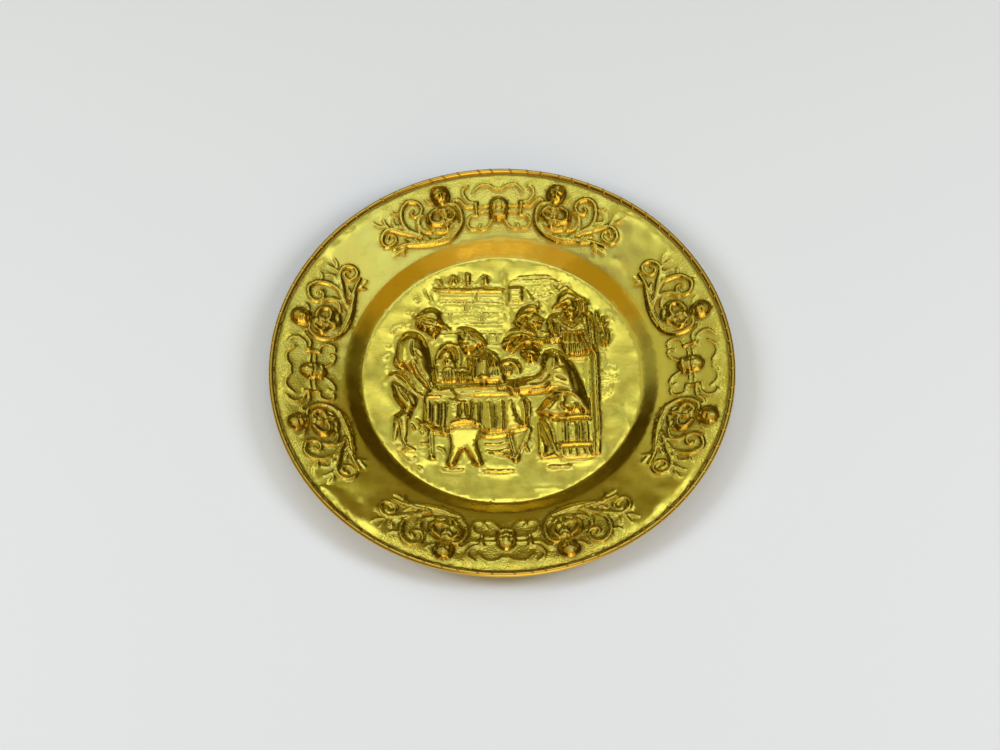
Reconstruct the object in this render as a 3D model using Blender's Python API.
"""Decorative embossed plate: a brass charger with a tavern scene in its well.

Run with: blender --background --python part.py
Metres, +Z up. The plate lies on the back of its well floor, centred on the origin, and the
picture's upright direction is +Y.
"""
import math

import bmesh
import bpy
import numpy as np
from mathutils import Vector
from mathutils.bvhtree import BVHTree
from mathutils.geometry import delaunay_2d_cdt

MM = 0.001

# The turned shape of the plate.
PLATE_DIAMETER = 450 * MM
BEAD_DIAMETER = 5.4 * MM        # the edge, rolled over into a round bead
BEAD_LAP = 0.75                 # share of the bead's width that stands beyond the rim's sheet
BEAD_DROP = 0.12                # how far the bead's middle hangs below the rim, in bead widths
BEAD_TURNS = (125, 75, 25, -25, -75, -125)      # degrees round the bead, from front to back
SHEET = 0.8 * MM                # thickness of the brass sheet
THINNEST = 0.5 * MM             # the sheet where the pressing stretched it most
WELL_RADIUS = 152.3 * MM        # where the rim turns down into the well
FLOOR_RADIUS = 136 * MM         # where the well wall meets the floor
WELL_DEPTH = 9.6 * MM
RIM_SLOPE = 0.256               # rise of the rim for each unit outwards
PLAIN_RING = 7.5 * MM           # flat ring left round the picture, which the plate rests on

# How high the pressed work stands, and how finely the surface is cut into facets.
PICTURE_HEIGHT = 1.0
ORNAMENT_HEIGHT = 1.0
SEGMENTS = 96
WALL_SAMPLES = 12               # how finely the wall is gauged along each facet's side
FRONT_POINTS = 3400
BACK_POINTS = 1000
HOLLOW_SETBACK = 2.6            # how much narrower the hollows behind are, in drawing units
HOLLOW_ROUNDING = 2.0           # how soft the hollows behind are, in drawing units
VIEW_LEAN = 0.55                # how far up a height looks from the plate's foot, per unit
CROWN_TILT = (0, -0.36)         # how the hats' crowns slope, across the picture and up it
DRAW_SLOPE = 1.0                # the steepest side that the sheet was drawn to, rise over run
DRAW_LIMIT = 9.0                # height that no form of the picture reaches, in drawing units

# The two drawings are set out in drawing units. One unit is a millimetre at these sizes.
PICTURE_RADIUS = 136.0          # the floor's radius in the picture's own units
ORNAMENT_RADIUS = 188.0         # the middle of the rim, where the ornament's units are true
ORNAMENT_WIDTH = 68.5           # the rim's width in the ornament's own units
ORNAMENT_LOW = 152.3            # the rim's inner edge in the ornament's own units
CARTOUCHES = 4
RASTER = 1.0                    # spacing of the picture's height samples, in drawing units
ORNAMENT_RASTER = 0.7           # the same for the rim ornament
FRONT_SPACING = 1.3 * MM        # no two corners of the front come nearer than about this
BACK_SPACING = 3 * MM

RIM_RADIUS = PLATE_DIAMETER / 2 - BEAD_DIAMETER * BEAD_LAP
FLOOR_TOP = SHEET
WELL_TOP = FLOOR_TOP + WELL_DEPTH


def smooth_line(points, closed=False, steps=4):
    """Points along a smooth curve through the given points."""
    knots = np.asarray(points, float)
    count = len(knots)
    spans = count if closed else count - 1
    curve = []
    for span in range(spans):
        if closed:
            a, b, c, d = (knots[(span + k) % count] for k in (-1, 0, 1, 2))
        else:
            a, b, c, d = (knots[min(max(span + k, 0), count - 1)] for k in (-1, 0, 1, 2))
        for step in range(steps):
            t = step / steps
            curve.append(0.5 * (2 * b + (c - a) * t + (2 * a - 5 * b + 4 * c - d) * t * t
                                + (3 * b - a - 3 * c + d) * t ** 3))
    if not closed:
        curve.append(knots[-1])
    return np.array(curve)


class Relief:
    """Heights of a drawing pressed into the sheet, on a square grid of samples."""

    foot = 1.2      # a mass starts this far inside its outline, because its foot spreads

    def __init__(self, low, high, step):
        self.low = np.array(low, float)
        self.step = step
        self.across = np.arange(low[0], high[0] + step / 2, step)
        self.up = np.arange(low[1], high[1] + step / 2, step)
        self.z = np.zeros((len(self.up), len(self.across)))

    def window(self, points, reach):
        """The block of samples that lies within reach of some points."""
        first = np.floor((points.min(0) - reach - self.low) / self.step).astype(int)
        last = np.ceil((points.max(0) + reach - self.low) / self.step).astype(int)
        first = np.clip(first, 0, None)
        block = (slice(first[1], last[1] + 1), slice(first[0], last[0] + 1))
        x, y = np.meshgrid(self.across[block[1]], self.up[block[0]])
        return block, x, y

    def nearest(self, points, x, y, widths=None):
        """Distance from each sample to a line, the line's width there, and how far along."""
        best = np.full(x.shape, 1e9)
        width = np.ones(x.shape)
        along = np.zeros(x.shape)
        count = len(points) - 1
        for k in range(count):
            a, b = points[k], points[k + 1]
            run = b - a
            t = ((x - a[0]) * run[0] + (y - a[1]) * run[1]) / max(run @ run, 1e-9)
            t = np.clip(t, 0, 1)
            away = np.hypot(x - a[0] - t * run[0], y - a[1] - t * run[1])
            if widths is None:
                closer = away < best
            else:
                local = widths[k] + (widths[k + 1] - widths[k]) * t
                closer = away / local < best / width
                width = np.where(closer, local, width)
            best = np.where(closer, away, best)
            along = np.where(closer, (k + t) / count, along)
        return best, width, along

    def mass(self, outline, height, edge, base=0.0, tilt=(0.0, 0.0)):
        """A rounded mass inside a smooth outline, rising over the width of its edge."""
        line = smooth_line(outline, closed=True)
        block, x, y = self.window(line, 0)
        ring = np.vstack([line, line[:1]])
        away, _, _ = self.nearest(ring, x, y)
        inside = np.zeros(x.shape, bool)
        for a, b in zip(ring[:-1], ring[1:]):
            crosses = (a[1] > y) != (b[1] > y)
            reach = a[0] + (y - a[1]) * (b[0] - a[0]) / ((b[1] - a[1]) or 1e-9)
            inside ^= crosses & (x < reach)
        t = np.clip((away - self.foot) / edge, 0, 1)
        middle = line.mean(0)
        lift = height + tilt[0] * (x - middle[0]) + tilt[1] * (y - middle[1])
        top = base + lift * np.sqrt(1 - (1 - t) ** 2)
        self.z[block] = np.where(inside, np.maximum(self.z[block], top), self.z[block])

    def limb(self, path, widths, height, base=0.0):
        """A rounded roll along a smooth path, such as an arm, a leg or a scroll."""
        line = smooth_line(path)
        wide = np.interp(np.linspace(0, 1, len(line)), np.linspace(0, 1, len(widths)), widths)
        block, x, y = self.window(line, max(widths))
        away, width, _ = self.nearest(line, x, y, wide)
        top = base + height * np.sqrt(np.clip(1 - (away / width) ** 2, 0, 1))
        self.z[block] = np.where(away < width, np.maximum(self.z[block], top), self.z[block])

    def dome(self, centre, radii, height, turn=0.0, base=0.0):
        """A rounded mound, such as a head or a fist."""
        points = np.array([centre], float)
        block, x, y = self.window(points, max(radii))
        c, s = math.cos(math.radians(turn)), math.sin(math.radians(turn))
        across = ((x - centre[0]) * c + (y - centre[1]) * s) / radii[0]
        up = ((y - centre[1]) * c - (x - centre[0]) * s) / radii[1]
        away = np.hypot(across, up)
        top = base + height * np.sqrt(np.clip(1 - away ** 2, 0, 1))
        self.z[block] = np.where(away < 1, np.maximum(self.z[block], top), self.z[block])

    def line(self, path, width, height):
        """A chased line that fades at both ends: a ridge, or a groove where height is negative."""
        curve = smooth_line(path)
        block, x, y = self.window(curve, 3 * width)
        away, _, along = self.nearest(curve, x, y)
        fade = np.clip(6 * np.minimum(along, 1 - along) + 0.35, 0, 1)
        self.z[block] += height * fade * np.exp(-(away / width) ** 2)

    def drape(self, steepest, fullness):
        """Lowers the heights to what thin sheet can be drawn to.

        No side rises faster than the steepest slope, and the higher a form is, the more it is
        flattened, so that none comes above the fullness.
        """
        reach = self.step * steepest
        for _ in range(math.ceil(self.z.max() / reach)):
            before = self.z
            for rows in (-1, 0, 1):
                for columns in (-1, 0, 1):
                    near = np.roll(before, (rows, columns), (0, 1))
                    self.z = np.minimum(self.z, near + reach * math.hypot(rows, columns))
        self.z = fullness * (1 - np.exp(-self.z / fullness))

    def lean(self, amount):
        """Slides each height down the picture by a share of itself.

        The picture is set out as it looks from the plate's foot. From there a high form seems to
        stand further up than it does.
        """
        order = 1e-6 * np.arange(len(self.up))
        for column in range(len(self.across)):
            heights = self.z[:, column]
            moved = np.maximum.accumulate(self.up - amount * heights) + order
            self.z[:, column] = np.interp(self.up, moved, heights)

    def soften(self, spread):
        """Blurs the heights, because sheet metal has no sharp steps."""
        reach = int(3 * spread / self.step) + 1
        offsets = np.arange(-reach, reach + 1)
        kernel = np.exp(-0.5 * (offsets * self.step / spread) ** 2)
        kernel /= kernel.sum()
        for axis in (0, 1):
            self.z = sum(w * np.roll(self.z, k, axis) for w, k in zip(kernel, offsets))

    def narrow(self, distance):
        """Each sample takes the lowest height within a distance."""
        reach = max(1, round(distance / self.step))
        for axis in (0, 1):
            shifted = [np.roll(self.z, k, axis) for k in range(-reach, reach + 1)]
            self.z = np.minimum.reduce(shifted)

    def read(self, x, y):
        """Heights between the samples."""
        column = np.clip((x - self.low[0]) / self.step, 0, len(self.across) - 1.001)
        row = np.clip((y - self.low[1]) / self.step, 0, len(self.up) - 1.001)
        c, r = column.astype(int), row.astype(int)
        fc, fr = column - c, row - r
        lower = self.z[r, c] * (1 - fc) + self.z[r, c + 1] * fc
        upper = self.z[r + 1, c] * (1 - fc) + self.z[r + 1, c + 1] * fc
        return lower * (1 - fr) + upper * fr


def press_room(sheet):
    """The room behind the figures: brick courses, a shelf of pots, a chimney breast."""
    for course in range(5):
        y = 37.5 + 11.9 * course
        sheet.line([(-62, y), (-28, y + 0.6), (5, y - 0.4)], 1.0, -0.8)
    for x, y in ((-24, 85.5), (-18.5, 61.5), (-50, 61.5), (-34, 73.5), (-4, 37.5), (-13, 37.5),
                 (-30, 97)):
        sheet.line([(x, y), (x, y + 6), (x - 0.5, y + 11)], 1.0, -0.8)
    sheet.mass([(-69, 104), (-66, 97), (-56, 94), (-25, 93), (4, 93.5), (4, 101.5), (-30, 102),
                (-60, 102)], 2.4, 2.5)
    sheet.mass([(-52, 105), (-52, 111), (-46, 119), (-41, 111), (-43, 104)], 2.4, 4)
    sheet.mass([(-36, 104), (-37, 112), (-35, 120), (-28, 120), (-26, 112), (-28, 104)], 2.4, 4)
    sheet.mass([(-19, 104), (-20, 112), (-15, 118), (-10, 112), (-11, 104)], 2.8, 4.5)
    sheet.limb([(-58, 104), (-63, 113)], [1.5, 2.5], 1.5)
    sheet.limb([(-73, 99), (-70, 92), (-66, 85)], [1.2, 1.6, 1.2], 1.0)
    sheet.line([(4, 118), (4.5, 100), (5.5, 80), (8.5, 55)], 1.4, -1.0)
    sheet.mass([(7, 83), (7, 90), (7, 104), (12, 104), (22, 104), (24, 103), (24, 90), (24, 83),
                (16, 83)], 2.4, 1.6)
    sheet.mass([(23, 83), (23, 92), (23.5, 103), (26, 101.5), (31.5, 94), (33.5, 90), (33.5, 83)],
               2.0, 6)
    sheet.limb([(6.5, 82), (24, 82)], [1.6, 1.6], 2.9)
    for beam in (((10, 107), (55, 107)), ((31, 99), (48, 98)), ((31, 95), (48, 94))):
        sheet.limb(beam, [1.1, 1.1], 0.9)
    sheet.limb([(52, 106), (62, 105.5), (67, 102)], [1.2, 1.2], 1.0)


def press_standing_man(sheet):
    """The man who stands at the left and leans on the table."""
    sheet.limb([(-101, -42), (-103, -56), (-105, -66)], [4, 3, 2], 2.8)
    sheet.mass([(-98, -32), (-86, -33), (-86, -42), (-90.5, -52), (-91.5, -64), (-90, -71),
                (-83, -77), (-87, -80), (-95, -76), (-98.5, -68), (-99, -58), (-102, -50),
                (-103, -42)], 5.4, 7)
    sheet.line([(-94, -42), (-95, -52), (-94.5, -66)], 1.4, -1.6)
    sheet.mass([(-110, -3), (-103, -1), (-95, -7), (-87, -14), (-81, -20), (-81.5, -28),
                (-84, -35), (-91, -37), (-98, -33), (-104, -23), (-108, -12)], 6.2, 9)
    for fold in (((-105, -10), (-99, -18), (-93, -27)), ((-99, -10), (-93, -18), (-88, -28)),
                 ((-106, -16), (-101, -24), (-96, -29))):
        sheet.line(fold, 1.5, 1.1)
    sheet.mass([(-114, -3), (-111, 4), (-106, 8), (-99, 9.5), (-92, 7.5), (-87, 0), (-80, -12),
                (-75, -21), (-80, -22), (-88, -15), (-96, -6.5), (-105, 0)], 6.6, 8)
    sheet.line([(-114, -3.5), (-105, 0.5), (-96, -6), (-87, -14), (-77, -22)], 1.3, 1.6)
    sheet.line([(-90, 6), (-86, -4), (-79, -15)], 2.0, -2.2)
    sheet.mass([(-88, 53), (-96, 50), (-102, 41), (-106, 28), (-107, 18), (-103, 11), (-94, 9),
                (-87, 3), (-80, -6), (-72, -11), (-64, -8), (-66, 4), (-67.5, 20), (-69, 34),
                (-74, 45), (-81, 51)], 9.0, 13)
    sheet.limb([(-86, 44), (-85, 28), (-82, 14), (-77, 2), (-69, -8)], [7, 8.5, 8, 6.5, 4.5], 3.8,
               4.6)
    sheet.line([(-92, 48), (-97, 40), (-99, 25), (-97, 13)], 1.5, 1.3)
    sheet.line([(-92, 47), (-94, 36), (-92, 24), (-88, 13)], 1.6, -2.2)
    sheet.line([(-82, 50), (-76.5, 40), (-74, 26), (-71.5, 14)], 1.2, 1.6)
    sheet.line([(-73, 42), (-70.5, 28), (-69, 10)], 1.8, -1.8)
    for streak in (((-92, 24), (-87, 10), (-79, -2)), ((-88, 25), (-83, 11), (-76, -1)),
                   ((-85, 8), (-79, -4), (-72, -11))):
        sheet.line(streak, 1.3, 1.5)
    sheet.dome((-70, -9), (7, 5), 3.2, -20, 3.2)
    sheet.dome((-61, -12), (6, 4.2), 3.0, -10, 3.0)
    sheet.mass([(-86, 60), (-80, 66), (-72, 68), (-63, 64), (-57, 58), (-58, 51), (-61, 46),
                (-64.5, 40.5), (-69, 44), (-73, 50), (-80, 54)], 7.4, 8)
    sheet.mass([(-88.5, 56), (-88.5, 64), (-84, 71.5), (-77, 77.5), (-69, 80.5), (-62, 78.5),
                (-57.5, 72), (-56, 63), (-51.5, 55), (-57, 57), (-63, 62), (-69, 65.5),
                (-76, 67), (-82, 65), (-84.5, 60)], 8.0, 9, 0, CROWN_TILT)
    sheet.limb([(-83, 63.5), (-76, 67), (-68, 65.5), (-60, 60), (-51, 54)], [1.3, 1.9, 1.8, 1.3],
               1.8, 6.2)


def press_back_drinker(sheet):
    """The man in a beret behind the table, who turns to the left."""
    sheet.mass([(-37, 16), (-32, 24), (-25, 30), (-16, 33), (-9, 29), (-1, 21), (4, 13), (5, 2),
                (0, -7), (-34, -7), (-36, 5)], 5.2, 9)
    sheet.line([(-30, 26), (-24, 18), (-25, 6)], 1.6, -1.6)
    sheet.limb([(-9, 24), (-5.5, 15), (-6, 7)], [4.5, 5, 4], 2.6, 3.2)
    sheet.dome((-6.5, 6), (5.5, 4.4), 2.8, 0, 3.2)
    sheet.mass([(-44, 48), (-43.5, 39), (-40.5, 30), (-35, 24), (-29, 24.5), (-24, 30), (-18, 35),
                (-24, 44), (-32, 51), (-40, 52)], 6.6, 8)
    sheet.mass([(-44.5, 53), (-41, 57), (-34, 57.5), (-26.5, 55.5), (-20, 49.5), (-15, 42),
                (-13.5, 35), (-17.5, 34.5), (-23, 42), (-29, 48), (-35, 51.5), (-40, 51.5)], 7.2,
               8, 0, CROWN_TILT)
    sheet.limb([(-36, 52), (-29.5, 48.5), (-23.5, 42.5), (-17.5, 35.5)], [1.2, 2.1, 2.1, 1.6],
               1.8, 5.4)


def press_child(sheet):
    """The child in a hood, with two round fists on the table."""
    sheet.mass([(-69, 14), (-65, 23), (-56, 26), (-44, 21), (-40, 8), (-43, -6), (-63, -6),
                (-69, 4)], 3.2, 6)
    sheet.limb([(-64, 20), (-61, 29), (-56, 35), (-50, 37), (-44, 33.5), (-41, 25), (-41, 13)],
               [1.8, 2.2, 2.4, 2.4, 2.2, 1.6], 4.0)
    sheet.dome((-53, 22), (8, 12), 6.0, 0)
    sheet.dome((-52.5, 3), (8, 9), 5.0, 6, 1.8)
    sheet.dome((-38.5, 2.5), (7.8, 8.6), 5.2, 0, 1.8)


def press_profile_drinker(sheet):
    """The man in a cap who looks to the right, with his arm along the table's far side."""
    sheet.mass([(-1, 35), (1, 43), (5, 49.5), (10, 54), (16, 55.5), (23, 53.5), (31, 48.5),
                (38, 45.5), (46, 46.5), (52, 49), (57, 45), (60, 40), (55, 34.5), (44, 36),
                (34, 40), (25, 43), (17, 41), (12, 32), (6, 27), (1, 29)], 6.0, 8)
    sheet.line([(17, 47), (15, 38), (11.5, 29)], 1.5, -1.8)
    sheet.limb([(15, 58.5), (22, 54.5), (29, 50), (34.5, 46)], [2.0, 3.2, 3.0, 1.6], 2.0, 3.6)
    sheet.limb([(38, 50), (42, 48.5), (46, 47)], [1.4, 2.2, 1.2], 1.4, 3.4)
    sheet.mass([(20, 61), (25, 68), (31, 71.5), (37, 71), (40, 67.5), (44, 62.5), (41.5, 58),
                (39, 52), (34.5, 49), (29, 53), (23, 57)], 6.6, 7)
    sheet.mass([(13.5, 60), (13.5, 66.5), (16.5, 73), (21, 78.5), (27, 82), (34, 82), (39.5, 79.5),
                (39, 75), (36.5, 71.5), (30, 72), (24, 69), (18.5, 64)], 7.6, 8, 0, CROWN_TILT)
    sheet.limb([(14.5, 59.5), (19.5, 65), (25, 69), (31.5, 71.5)], [1.8, 2.5, 2.4, 1.6], 1.8, 5.6)
    sheet.dome((53, 40), (8.5, 5.2), 3.4, -18, 3.4)


def press_seated_man(sheet):
    """The large man on the bench at the right, who bends over the table."""
    sheet.mass([(31, -43), (35, -51), (38, -63), (43, -78), (42, -85), (33, -88), (33.5, -70),
                (32, -56)], 4.2, 4)
    sheet.mass([(31, -39), (38, -44), (45, -49), (50, -60), (52, -74), (54, -87), (48, -85),
                (43.5, -76), (39, -62), (34, -51)], 6.4, 6)
    sheet.mass([(33, -88), (40, -85), (46, -81), (51, -82), (54, -88), (44, -90.5), (36, -92)],
               5.0, 4)
    sheet.mass([(36, 20), (40, 27), (45, 30.5), (52, 31.5), (60, 27.5), (66, 19.5), (72, 9.5),
                (77, -3), (81, -16), (84.5, -29), (85.5, -41), (78, -44), (66, -38), (57, -26),
                (46, -20), (39, -19), (37, -8), (40, 4), (36, 12)], 11.5, 19)
    sheet.mass([(42, -22), (50, -18), (58, -17), (67, -19.5), (75, -25), (81, -34), (80, -42),
                (66, -44), (50, -48), (38, -46), (31, -39), (35, -32)], 8.8, 9)
    for fold in (((57, -19), (58, -28), (52, -37)), ((66, -22), (67, -32), (72, -41)),
                 ((48, -22), (45, -30), (37, -37))):
        sheet.line(fold, 1.7, 1.5)
    sheet.line([(53, -32), (56.5, -37), (60, -42)], 1.7, -2.6)
    sheet.line([(44, -23), (39, -32), (33, -38)], 1.5, -1.6)
    sheet.limb([(48, 8), (44, -3), (36, -9.5), (26, -11), (13, -10.5)], [8, 9, 9.5, 9, 7.5], 4.6,
               5.2)
    for streak in (((48, 9), (41, 0), (31, -5.5), (16, -6)), ((50, 3), (44, -7), (34, -12), (16, -12)),
                   ((49, -5), (43, -13), (33, -18), (16, -17))):
        sheet.line(streak, 1.5, 1.6)
    for groove in (((49, 6), (42, -4), (32, -9), (16, -9)),
                   ((49, -1), (43, -10), (33, -15.5), (16, -14.5))):
        sheet.line(groove, 1.2, -1.6)
    sheet.line([(46.5, 20), (47.5, 12), (46, 4)], 1.5, -2.4)
    for fold in (((50, 3), (54, 8), (59, 11)), ((53, 5), (58, 3), (62, -1)),
                 ((52, -7), (59, -6), (67, -10))):
        sheet.line(fold, 1.5, 0.8)
    sheet.limb([(13, -10), (4, -8.5), (-6, -11.5)], [5.5, 5, 3], 3.4, 3.4)
    sheet.mass([(16, 28), (20, 36), (28, 40), (35, 37.5), (38.5, 29), (36.5, 20), (31.5, 13.5),
                (27, 13.5), (22, 17.5), (18, 23)], 8.2, 8)
    sheet.mass([(9.5, 27), (12.5, 35), (16, 41.5), (21.5, 47), (28.5, 48.5), (36, 45), (43, 40),
                (47, 34), (41, 36), (34, 38.5), (27, 38.5), (20, 36), (14.5, 31)], 9.4, 8, 0,
               CROWN_TILT)
    sheet.limb([(10, 27.5), (15.5, 34.5), (23, 39.5), (31, 40.5), (41, 37)],
               [1.5, 2.6, 2.8, 2.4, 1.5], 2.2, 7.0)


def press_serving_man(sheet):
    """The man who stands at the right in a feathered hat and holds a vessel."""
    sheet.mass([(47, 43), (45.5, 52), (47, 61), (51, 68), (58, 71.5), (66, 62), (75, 64),
                (80, 73), (86, 73.5), (92, 67), (94.5, 52), (94.5, 36), (93, 25), (86, 23),
                (72, 20.5), (62, 23), (57, 32), (51, 39)], 6.4, 9)
    sheet.limb([(53, 67), (48.5, 58), (50, 47)], [3.6, 4.5, 3.6], 2.4, 4.4)
    sheet.limb([(86, 69), (89, 52), (90, 36), (90, 26)], [4.5, 5.4, 4.8, 3.2], 3.0, 4.6)
    sheet.line([(83, 70), (84, 52), (84.5, 34)], 1.6, -2.0)
    for side_of_collar in (((55, 69), (59, 61), (66, 55)), ((76, 65), (74, 59), (68, 54.5))):
        sheet.line(side_of_collar, 1.5, 1.5)
    sheet.line([(57, 52), (68, 51), (80, 52)], 1.3, -1.6)
    for gather in range(4):
        x = 64.5 + 3.9 * gather
        sheet.line([(x + 1, 40), (x, 31), (x - 1.0, 23)], 1.1, -1.6)
    sheet.mass([(97, 50), (101, 53), (107, 53), (109.5, 45), (107.5, 36), (103, 30), (98, 31),
                (95.5, 38)], 6.0, 6)
    for tip in ((95, 75), (101, 67)):
        sheet.limb([(100, 51), ((tip[0] + 98.5) / 2, 60), tip], [2.8, 2.2, 0.8], 2.8)
    sheet.mass([(60, 76), (62, 84), (70, 88), (77, 85), (79, 75), (76, 66), (71, 60.5),
                (66, 61.5), (61, 68)], 7.4, 8)
    sheet.mass([(77, 90), (83, 88.5), (87.5, 83.5), (87.5, 78), (84.5, 73), (80, 71), (78, 76),
                (76.5, 84)], 7.0, 6)
    sheet.mass([(54.5, 79), (54, 86), (56.5, 92), (61.5, 97), (67.5, 99.5), (73.5, 96),
                (79, 90), (77, 86), (70, 87), (63, 85), (58, 81.5)], 7.6, 8, 0, CROWN_TILT)
    sheet.limb([(52.5, 76.5), (59, 81.5), (66.5, 86), (76, 87)], [1.4, 2.5, 2.5, 1.6], 2.0, 6.2)


def press_bench(sheet):
    """The slatted bench seat and its two tall back posts."""
    sheet.mass([(52, -48), (60, -48), (85, -47), (86, -60), (86, -87), (78, -87.5), (53, -87.5),
                (52.5, -70)], 2.2, 2)
    for x in (55.5, 61, 71.5, 77, 82.5):
        sheet.line([(x, -50), (x + 0.3, -60), (x + 0.6, -72)], 1.1, -1.8)
    sheet.limb([(53, -75), (86, -74.5)], [1.8, 1.8], 2.8)
    sheet.limb([(46, -47), (60, -46.5), (85, -44.5)], [2.2, 2.6, 2.2], 5.0)
    sheet.limb([(84.5, 22), (85, -20), (86.5, -84)], [2.6, 2.6, 2.4], 4.0)
    sheet.limb([(92, 24), (91.5, -20), (91, -84)], [3.6, 3.2, 2.4], 4.6)
    sheet.limb([(66, 19), (82, 20)], [1.8, 1.8], 2.6)


def press_table(sheet):
    """The table with its hanging cloth, trestle legs, board and tankard."""
    sheet.limb([(-70, -58), (-69.5, -86)], [3.4, 2.8], 3.6)
    sheet.limb([(25, -60), (13, -89)], [2.8, 2.8], 2.6)
    sheet.limb([(5, -62), (11, -91)], [3.2, 2.8], 3.8)
    sheet.limb([(-66, -60), (-46, -62)], [2.4, 2.4], 2.4)
    sheet.mass([(-76, -18), (-50, -17), (-10, -20), (22, -21), (25, -40), (26, -57), (13, -60),
                (3, -65), (-16, -67), (-24, -61), (-54, -61), (-66, -57), (-78, -50), (-77, -34)],
               4.0, 4)
    for x, depth in ((-67, 1.8), (-62.5, -1.4), (-58, 1.6), (-55, 2.4), (-22, 2.2), (-14, 2.4),
                     (-7, -1.5), (-0.5, 2.8), (2.5, -1.8), (9, 1.2), (13, -1.5), (17, 1.6)):
        sheet.line([(x + 1, -24), (x, -38), (x - 0.6, -57)], 1.5, -depth)
    sheet.limb([(-24, -61), (-17, -65), (3, -63.5), (12, -59.5), (26, -57)], [2, 2.6, 2.4, 2], 2.2,
               3.4)
    sheet.mass([(-77, -19), (-70, -11), (-54, -7), (-20, -6), (6, -7), (20, -14), (22, -22),
                (-20, -22), (-60, -20)], 4.4, 3)
    sheet.line([(-76, -22), (-40, -21.5), (-10, -23), (22, -23)], 1.4, -2.0)
    sheet.mass([(-50, -9), (-28, -8), (-6, -9), (4, -15), (7, -21), (-18, -22), (-44, -22)],
               2.2, 2, 3.8)
    sheet.line([(-49, -10), (-30, -9.4), (-8, -10)], 1.0, -1.6)
    sheet.line([(-48, -14.8), (-20, -14.8), (4, -15.4)], 1.3, -2.0)
    sheet.limb([(-44, -19), (-20, -18.7), (5, -19)], [1.8, 2.0, 1.6], 1.6, 4.6)
    sheet.limb([(-17.8, 20), (-17.8, -1)], [7.2, 7.2], 6.6, 1.8)
    for x in (-23.4, -12.4):
        sheet.line([(x, 19.5), (x, 9), (x, -1)], 1.5, -1.8)
    sheet.limb([(-23.5, -3), (-18, -0.8), (-12.5, -3)], [1.4, 1.4], 1.4, 6.4)
    sheet.limb([(1, 15), (8, 17), (14, 12), (16, 4)], [3, 4, 4, 2.5], 3.4, 3.0)
    sheet.dome((6, 6.5), (6, 5), 3.4, -15, 3.0)


def press_stool(sheet):
    """The splay-legged stool in front of the table, with a jug on it."""
    sheet.mass([(-41, -23.5), (-36, -23.5), (-34.5, -33), (-31, -41), (-30, -47), (-47, -47),
                (-45, -41), (-42, -33)], 7.6, 7)
    turns = np.linspace(0, 1, 9)
    spiral = [(-46.5 + (5.5 - 4 * t) * math.cos(7.5 * t), -31 + (5.5 - 4 * t) * math.sin(7.5 * t))
              for t in turns]
    sheet.limb(spiral, [1.5, 1.0], 2.0, 3.8)
    sheet.mass([(-50, -52), (-24, -52), (-25, -66), (-24, -76), (-20, -97), (-29, -96), (-33, -84),
                (-38, -77), (-43, -84), (-46, -96), (-55, -96), (-51, -76), (-50, -66)], 6.2, 4,
               0, (0, 0.06))
    sheet.line([(-46, -90), (-42.5, -81), (-38, -75.5), (-33.5, -81), (-30, -90)], 1.2, 1.3)
    sheet.limb([(-51.5, -51), (-45, -48), (-37, -47), (-29, -48), (-22.5, -51)],
               [1.6, 2.6, 3.0, 2.6, 1.6], 3.4, 4.8)


def pressed_picture(step):
    """The tavern scene, in units of the picture."""
    edge = PICTURE_RADIUS
    sheet = Relief((-edge, -edge), (edge, edge), step)
    press_room(sheet)
    press_bench(sheet)
    press_serving_man(sheet)
    press_profile_drinker(sheet)
    press_back_drinker(sheet)
    press_child(sheet)
    press_table(sheet)
    press_standing_man(sheet)
    press_seated_man(sheet)
    press_stool(sheet)
    for row, y in enumerate((-2, -6, -12, -17, -22)):
        sheet.line([(97, y), (108, y + row)], 0.9, -0.35)
    sheet.drape(DRAW_SLOPE, DRAW_LIMIT)
    sheet.lean(VIEW_LEAN)
    sheet.soften(0.8)
    return sheet


# The ornament's scrolls and stems on its right half: the path, the half widths along it, the height.
SCROLLS = (
    (((8, 181), (19, 181)), (1.1, 1.1), 1.5),
    (((8, 186), (19, 186)), (1.1, 1.1), 1.5),
    (((21, 191), (29, 192), (33.5, 199), (32, 206), (27, 208.5)), (1.0, 1.5, 1.5, 1.3, 0.9), 1.7),
    (((24, 201), (16, 208), (8, 207), (3, 203), (0, 204)), (0.9, 1.3, 1.3, 1.1), 1.6),
    (((24, 178), (31, 177), (34.5, 170), (32, 164.5), (26, 164)), (1.0, 1.5, 1.5, 1.2), 1.7),
    (((6, 172), (12, 165), (20, 162.5), (23, 165.5), (20, 168)), (1.3, 1.3, 1.0), 1.7),
    (((26, 187.5), (33, 188.5), (38, 195), (42, 196.5), (46, 192)), (1.1, 1.5, 1.5, 1.0), 1.8),
    (((52, 193), (44, 192), (39.5, 185), (39.5, 175), (45, 166.5), (55, 161.5)),
     (1.4, 2.0, 2.2, 2.2, 2.0, 1.4), 3.2),
    (((42, 168), (52, 162.5), (64, 160.5), (80, 161.5), (95, 166), (109, 171), (123, 173)),
     (1.2, 2.8, 3.6, 3.6, 3.2, 2.0, 0.9), 2.8),
    (((83, 166), (92, 175), (98, 183), (99, 191), (96, 200), (91, 206), (84, 208.5), (77, 204),
      (75.5, 197), (79, 192), (85, 192), (87.5, 196), (84, 198.5)),
     (3.0, 2.4, 2.0, 1.8, 1.6, 1.4, 1.2), 2.4),
    (((76, 190), (82, 188), (85, 182), (83, 175), (76, 171)), (1.2, 1.7, 1.7, 1.3), 1.9),
    (((80, 191), (85, 186), (88, 179), (86, 170)), (1.0, 1.7, 1.7, 1.4), 1.9),
    (((90, 172), (101, 181), (108, 188), (114, 192), (121, 192), (127, 187), (127, 180),
      (121, 177.5), (114, 179.5), (113, 185), (117, 188), (121, 185)),
     (2.6, 2.4, 2.0, 1.6, 1.4, 1.2, 1.1), 2.3),
)

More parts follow.
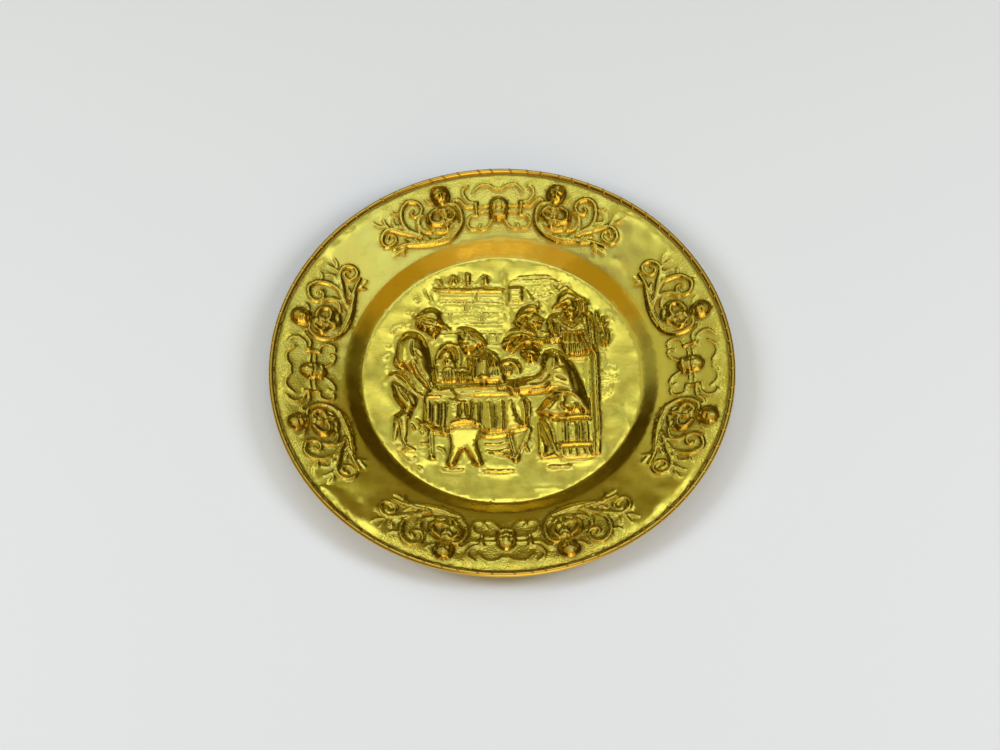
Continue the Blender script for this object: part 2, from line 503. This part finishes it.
# The small leaves: where each grows from, its tip and its half width.
LEAVES = (
    ((98, 186), (108, 195), 2.8), ((97, 202), (103, 207), 1.6), ((94, 170), (106, 178), 2.4),
    ((104, 170), (126, 167), 1.5), ((112, 190), (113, 206), 1.5), ((115, 196), (122, 206), 1.4),
    ((108, 192), (104, 201), 1.3), ((110, 172), (117, 162), 1.5), ((64, 199), (69, 206), 1.4),
)


def on_side(side, points):
    """Points of the right half, or their mirror image on the left."""
    return [(side * u, v) for u, v in points]


def leaf_path(root, tip):
    """A slightly bent midrib from a leaf's root to its tip."""
    return [root, ((root[0] + tip[0]) / 2 + 1, (root[1] + tip[1]) / 2 - 1), tip]


def press_half_ornament(sheet, side):
    """Half of a rim ornament: side is 1 for the right half and -1 for the left."""
    spool = ((19.5, 176), (26.5, 176), (25.2, 182), (26.8, 191), (19.2, 191), (20.8, 182))
    sheet.mass(on_side(side, spool), 3.4, 3.5)
    shield = ((47, 193), (58, 192), (68, 192), (76, 186), (78, 178), (74, 169), (64, 164),
              (54, 162), (45, 166), (40, 174), (40, 185))
    sheet.mass(on_side(side, shield), 2.2, 4)
    body = ((50, 191), (60, 192), (64, 184), (64, 174), (60, 166), (54, 168), (50, 178))
    sheet.mass(on_side(side, body), 3.8, 6, 1.0)
    outer_arm = ((62, 190), (70, 187), (72, 180), (65, 176), (58, 178))
    inner_arm = ((50, 188), (46, 181), (52, 176), (59, 176))
    for arm in (outer_arm, inner_arm):
        sheet.limb(on_side(side, arm), [2.5, 2.7, 2.3, 1.9], 2.6, 2.0)
    sheet.dome((side * 54.5, 202.5), (8.2, 10.3), 6.4, -4 * side)
    for path, widths, height in SCROLLS:
        sheet.limb(on_side(side, path), widths, height)
    for root, tip, width in LEAVES:
        sheet.limb(on_side(side, leaf_path(root, tip)), [0.8, width, 0.5], 1.7)


def pressed_ornament(step):
    """One rim ornament, in its own units: along the rim and out from the centre."""
    high = ORNAMENT_LOW + ORNAMENT_WIDTH
    sheet = Relief((-140, ORNAMENT_LOW), (140, high), step)
    sheet.mass([(-7.5, 174), (-7.5, 184), (-5, 191), (0, 195.5), (5, 191), (7.5, 184),
                (7.5, 174), (4, 170.5), (-4, 170.5)], 5.4, 7)
    sheet.dome((0, 182.5), (9.4, 12.5), 6.2)
    for v in (174.5, 184):
        sheet.limb([(-7.5, v), (0, v - 1.5), (7.5, v)], [1.0, 1.3, 1.0], 1.0, 4.6)
    for side in (-1, 1):
        press_half_ornament(sheet, side)
    sheet.soften(0.7)
    return sheet


def turned_height(radius):
    """Height of the bare front surface at a distance from the centre."""
    return np.interp(radius, [0, FLOOR_RADIUS, WELL_RADIUS, RIM_RADIUS],
                     [FLOOR_TOP, FLOOR_TOP, WELL_TOP,
                      WELL_TOP + RIM_SLOPE * (RIM_RADIUS - WELL_RADIUS)])


def relief_height(picture, ornament, points):
    """Height of the pressed work above the bare surface. No groove cuts through the sheet."""
    x, y = points[..., 0], points[..., 1]
    radius = np.hypot(x, y)
    unit = FLOOR_RADIUS / PICTURE_RADIUS
    inner = PICTURE_HEIGHT * MM * picture.read(x / unit, y / unit)
    inner = np.where(radius < FLOOR_RADIUS - PLAIN_RING, inner, 0)
    spread = math.tau / CARTOUCHES
    angle = (np.arctan2(x, y) + spread / 2) % spread - spread / 2
    rim_unit = (RIM_RADIUS - WELL_RADIUS) / ORNAMENT_WIDTH
    outward = ORNAMENT_LOW + (radius - WELL_RADIUS) / rim_unit
    outer = ORNAMENT_HEIGHT * MM * ornament.read(angle * ORNAMENT_RADIUS, outward)
    outer = np.where((radius > WELL_RADIUS) & (radius < RIM_RADIUS), outer, 0)
    return np.maximum(inner + outer, THINNEST - SHEET)


def circle(radius):
    """Points round a circle, one for each segment."""
    turn = np.arange(SEGMENTS) * math.tau / SEGMENTS
    return np.stack([radius * np.cos(turn), radius * np.sin(turn)], 1)


def triangulate(points, edges):
    """Counter-clockwise triangles between flat points, keeping the edges of the circles."""
    found = delaunay_2d_cdt([Vector(p) for p in points.tolist()], edges, [], 0, 1e-9)
    return np.array(found[2])


def facet_lattice(order=5):
    """Weights of the three corners at evenly spread places on a facet."""
    return np.array([(i, j, order - i - j) for i in range(order + 1)
                     for j in range(order + 1 - i)]) / order


def settle_points(surface, radii, count, spacing):
    """Circles, then points added where flat facets stray furthest from the surface."""
    points = np.vstack([circle(r) for r in radii])
    edges = [(ring * SEGMENTS + k, ring * SEGMENTS + (k + 1) % SEGMENTS)
             for ring in range(len(radii)) for k in range(SEGMENTS)]
    lattice = facet_lattice()
    while True:
        triangles = triangulate(points, edges)
        if len(points) >= count:
            return points, triangles
        corners = points[triangles]
        trial = np.einsum("kc,ncd->nkd", lattice, corners)
        flat = np.einsum("kc,nc->nk", lattice, surface(corners))
        miss = np.abs(surface(trial) - flat)
        reach = np.hypot(trial[..., 0], trial[..., 1])
        for r in radii:
            miss[np.abs(reach - r) < spacing] = 0
        worst = miss.argmax(1)
        row = np.arange(len(triangles))
        candidates = trial[row, worst]
        ranking = np.argsort(-miss[row, worst], kind="stable")
        taken = set(map(tuple, np.floor(points / spacing).astype(int)))
        fresh = []
        for k in ranking[:max(40, len(points) // 4)]:
            cell = tuple(np.floor(candidates[k] / spacing).astype(int))
            if cell not in taken and len(points) + len(fresh) < count:
                taken.add(cell)
                fresh.append(candidates[k])
        if not fresh:
            return points, triangles
        points = np.vstack([points, fresh])


def keep_wall(front, points, triangles, z, lowest):
    """Lowers the back's corners wherever its flat facets come too near the front."""
    tree = BVHTree.FromPolygons(*front)
    lattice = facet_lattice(WALL_SAMPLES)
    just_inside = 0.9995
    places = just_inside * np.einsum("kc,ncd->nkd", lattice, points[triangles])
    ceiling = np.array([[tree.ray_cast(Vector((*p, PLATE_DIAMETER)), Vector((0, 0, -1)))[0].z
                         for p in facet] for facet in places.tolist()])
    for _ in range(6):
        flat = np.einsum("kc,nc->nk", lattice, z[triangles])
        excess = np.clip((flat + THINNEST - ceiling).max(1), 0, None)
        drop = np.zeros(len(z))
        np.maximum.at(drop, triangles.ravel(), np.repeat(excess, 3))
        z = np.maximum(z - drop, lowest)
    return z


def bead_profile():
    """Radius and height of the rolled edge, from the rim's front over the top to its back."""
    rise = turned_height(RIM_RADIUS)
    centre_r = PLATE_DIAMETER / 2 - BEAD_DIAMETER / 2
    centre_z = rise - BEAD_DIAMETER * BEAD_DROP
    turns = np.radians(BEAD_TURNS)
    half = BEAD_DIAMETER / 2
    return [(centre_r + half * math.cos(a), centre_z + half * math.sin(a)) for a in turns]


def build_plate():
    """The whole plate as one closed mesh: front, rolled edge and back."""
    picture = pressed_picture(RASTER)
    ornament = pressed_ornament(ORNAMENT_RASTER)

    def front(points):
        radius = np.hypot(points[..., 0], points[..., 1])
        return turned_height(radius) + relief_height(picture, ornament, points)

    radii = (RIM_RADIUS, WELL_RADIUS, FLOOR_RADIUS, FLOOR_RADIUS - PLAIN_RING)
    front_points, front_triangles = settle_points(front, radii, FRONT_POINTS, FRONT_SPACING)
    front_z = front(front_points)

    for drawing in (picture, ornament):
        drawing.narrow(HOLLOW_SETBACK)
        drawing.soften(HOLLOW_ROUNDING)
        drawing.z = np.clip(drawing.z, 0, None)

    def back(points):
        radius = np.hypot(points[..., 0], points[..., 1])
        return turned_height(radius) + relief_height(picture, ornament, points) - SHEET

    back_points, back_triangles = settle_points(back, radii, BACK_POINTS, BACK_SPACING)
    bare_back = turned_height(np.hypot(*back_points.T)) - SHEET
    front_corners = np.column_stack([front_points, front_z]).tolist()
    back_z = keep_wall((front_corners, front_triangles.tolist()), back_points, back_triangles,
                       np.maximum(back(back_points), bare_back), bare_back)

    mesh = bmesh.new()
    top = [mesh.verts.new((*p, z)) for p, z in zip(front_points, front_z)]
    bottom = [mesh.verts.new((*p, z)) for p, z in zip(back_points, back_z)]
    for a, b, c in front_triangles:
        mesh.faces.new((top[a], top[b], top[c]))
    for a, b, c in back_triangles:
        mesh.faces.new((bottom[c], bottom[b], bottom[a]))
    rows = [top[:SEGMENTS]]
    for radius, z in bead_profile():
        rows.append([mesh.verts.new((*p, z)) for p in circle(radius)])
    rows.append(bottom[:SEGMENTS])
    for upper, lower in zip(rows[:-1], rows[1:]):
        for k in range(SEGMENTS):
            j = (k + 1) % SEGMENTS
            mesh.faces.new((upper[k], lower[k], lower[j]))
            mesh.faces.new((upper[k], lower[j], upper[j]))
    return mesh


def brass():
    material = bpy.data.materials.new("pressed_brass")
    material.use_nodes = True
    shader = material.node_tree.nodes["Principled BSDF"]
    shader.inputs["Base Color"].default_value = (0.62, 0.50, 0.10, 1)
    shader.inputs["Roughness"].default_value = 0.34
    shader.inputs["Metallic"].default_value = 1.0
    return material


def main():
    for old in list(bpy.data.objects):
        bpy.data.objects.remove(old, do_unlink=True)
    shape = build_plate()
    data = bpy.data.meshes.new("embossed_plate")
    shape.to_mesh(data)
    shape.free()
    data.materials.append(brass())
    data.shade_smooth()
    data.set_sharp_from_angle(angle=math.radians(35))
    plate = bpy.data.objects.new("embossed_plate", data)
    bpy.context.scene.collection.objects.link(plate)
    print("plate facets:", len(data.polygons))


main()
